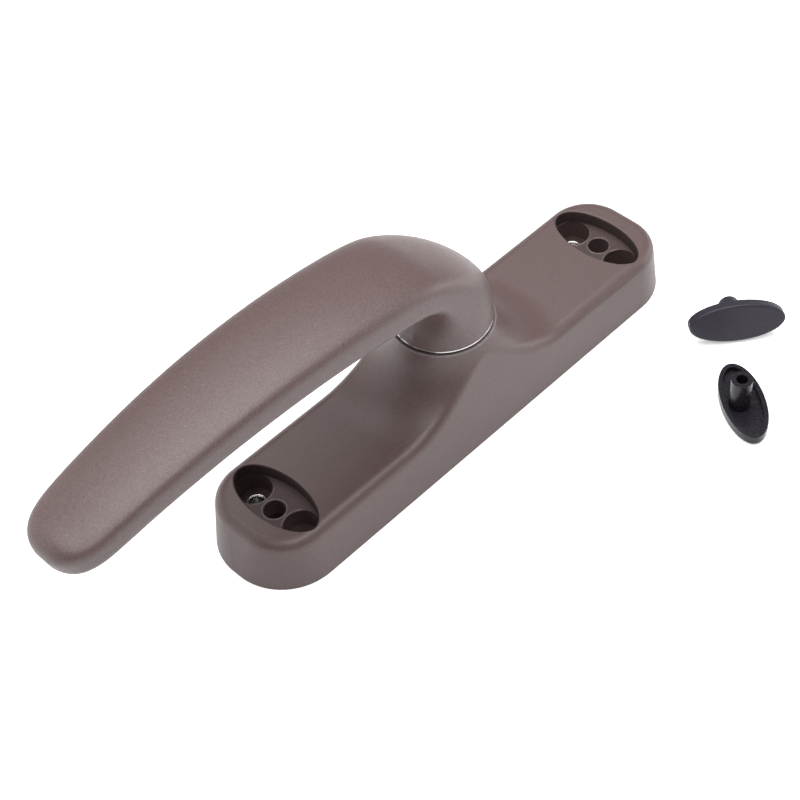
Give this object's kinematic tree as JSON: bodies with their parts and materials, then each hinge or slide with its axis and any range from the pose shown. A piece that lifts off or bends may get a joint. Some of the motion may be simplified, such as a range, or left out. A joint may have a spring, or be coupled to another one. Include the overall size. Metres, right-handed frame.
{
  "type": "sliding door handle",
  "caption": "Crank-lever door handle: a flat-bowed lever turns on a long screw-on base with a flared boss; elliptical screw recesses at both ends, their caps taken off.",
  "frame": {"origin": "on the spindle axis, in the back plane of the base, where the handle meets the door", "axes": "+Z out of the door along the spindle axis, Y along the base, the lever points to -Y at rest"},
  "size_m": [0.0904, 0.2077, 0.0704],
  "materials": {
    "paint": "satin grey-brown powder coat with a fine texture",
    "bright_ring": "bright polished edge",
    "bush": "black nylon",
    "steel": "plain steel",
    "plate": "zinc-plated sheet",
    "fasteners": "zinc-plated",
    "cap_plastic": "black moulded plastic, satin"
  },
  "bodies": {
    "base": {"base_casting": "paint", "neck_bush": "bush", "bright_ring": "bright_ring", "stop_pin": "steel", "back_plate": "plate", "back_plate_screws": "fasteners", "screw_cap_1": "cap_plastic", "screw_cap_2": "cap_plastic"},
    "lever": {"lever": "paint", "limit_disc": "steel", "disc_spring": "steel", "thrust_washer": "steel", "circlip": "steel"}
  },
  "joints": [
    {"name": "lever_turn", "type": "hinge", "parent": "base", "child": "lever", "pos_m": [0, 0, 0.0326], "axis": [0, 0, 1], "range_deg": [-90, 90]}
  ]
}
